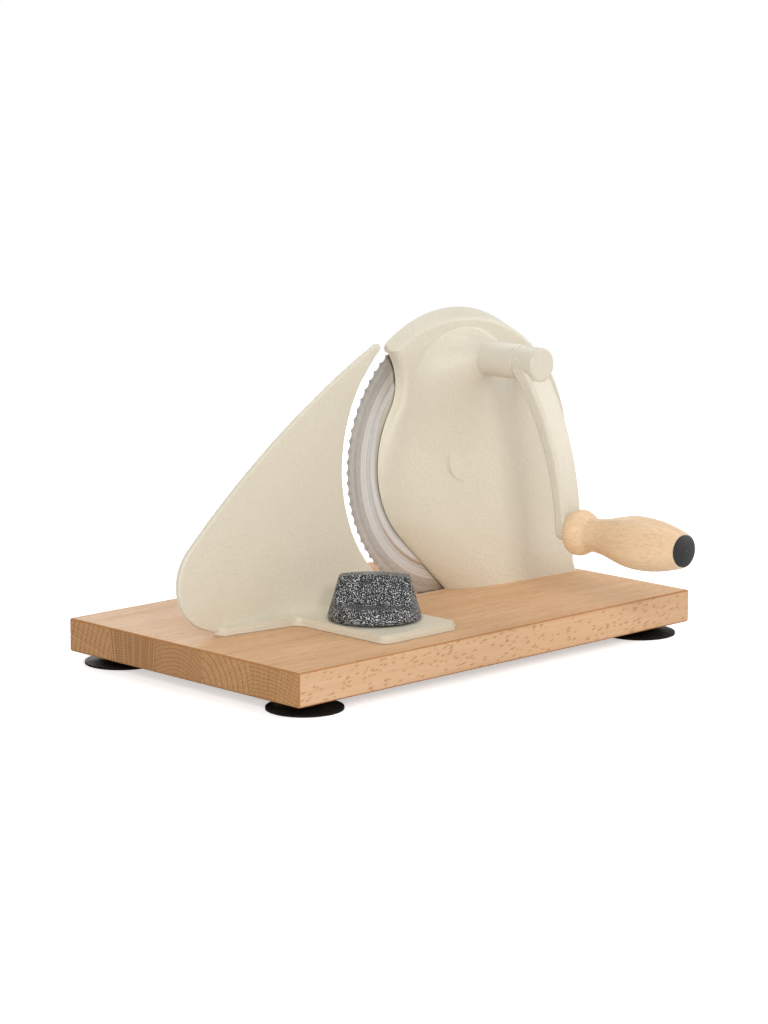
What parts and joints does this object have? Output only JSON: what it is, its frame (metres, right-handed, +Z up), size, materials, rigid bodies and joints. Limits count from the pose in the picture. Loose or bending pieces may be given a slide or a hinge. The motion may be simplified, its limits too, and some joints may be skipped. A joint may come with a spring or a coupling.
{
  "type": "hand cranked bread slicer",
  "caption": "Hand cranked bread slicer: a round serrated blade in a cream cast housing on a beech board, with a sliding stop plate and clamp knob.",
  "frame": {"origin": "on the table under the middle of the whole slicer's outline, grip included", "axes": "+X along the board towards the housing's foot, +Y from the operator and the crank towards the loaf, +Z up"},
  "size_m": [0.325, 0.2844, 0.2001],
  "materials": {
    "board_beech": "oiled beech",
    "grip_beech": "waxed beech",
    "cream_enamel": "cream enamel, fine hammered surface",
    "blade_steel": "ground stainless steel",
    "gear_steel": "machined steel, greased",
    "fastener_steel": "zinc plated steel",
    "bearing_bronze": "turned bronze",
    "cup_rubber": "black rubber",
    "knob_plastic": "dark speckled plastic",
    "cap_plastic": "black plastic"
  },
  "bodies": {
    "base": {"base_board": "board_beech", "suction_foot_front_left": "cup_rubber", "suction_foot_front_right": "cup_rubber", "suction_foot_rear_left": "cup_rubber", "suction_foot_rear_right": "cup_rubber", "foot_screws": "fastener_steel", "blade_housing": "cream_enamel", "housing_screws": "fastener_steel", "screw_washers": "fastener_steel", "blade_washer": "fastener_steel", "blade_screw": "fastener_steel", "shaft_bush": "bearing_bronze", "clamp_bolt": "fastener_steel", "clamp_washer": "fastener_steel"},
    "crank": {"crank_arm": "cream_enamel", "crank_shaft": "fastener_steel", "crank_pinion": "gear_steel", "thrust_washer": "fastener_steel", "grip_bolt": "fastener_steel", "grip_washer": "fastener_steel"},
    "grip": {"crank_grip": "grip_beech", "grip_cap": "cap_plastic"},
    "blade": {"serrated_blade": "blade_steel", "blade_gear": "gear_steel", "blade_bush": "bearing_bronze", "blade_rivets": "fastener_steel"},
    "stop": {"stop_plate": "cream_enamel"},
    "knob": {"thickness_knob": "knob_plastic", "knob_insert": "bearing_bronze"}
  },
  "joints": [
    {"name": "blade_spin", "type": "hinge", "parent": "base", "child": "blade", "pos_m": [0.0617, 0.0483, 0.1082], "axis": [0, 1, 0], "continuous": true},
    {"name": "crank_turn", "type": "hinge", "parent": "base", "child": "crank", "pos_m": [0.0617, 0.0166, 0.1722], "axis": [0, 1, 0], "continuous": true},
    {"name": "grip_spin", "type": "hinge", "parent": "crank", "child": "grip", "pos_m": [0.0617, -0.0994, 0.0759], "axis": [0, 1, 0], "continuous": true},
    {"name": "thickness_slide", "type": "slide", "parent": "base", "child": "stop", "axis": [0, -1, 0], "range_m": [0, 0.017]},
    {"name": "knob_turn", "type": "hinge", "parent": "base", "child": "knob", "pos_m": [-0.0501, -0.0018, 0.0469], "axis": [0, 0, 1], "range_deg": [0, 270]}
  ],
  "couplings": [
    {"joint": "crank_turn", "follows": "blade_spin", "ratio": -2.5556}
  ]
}
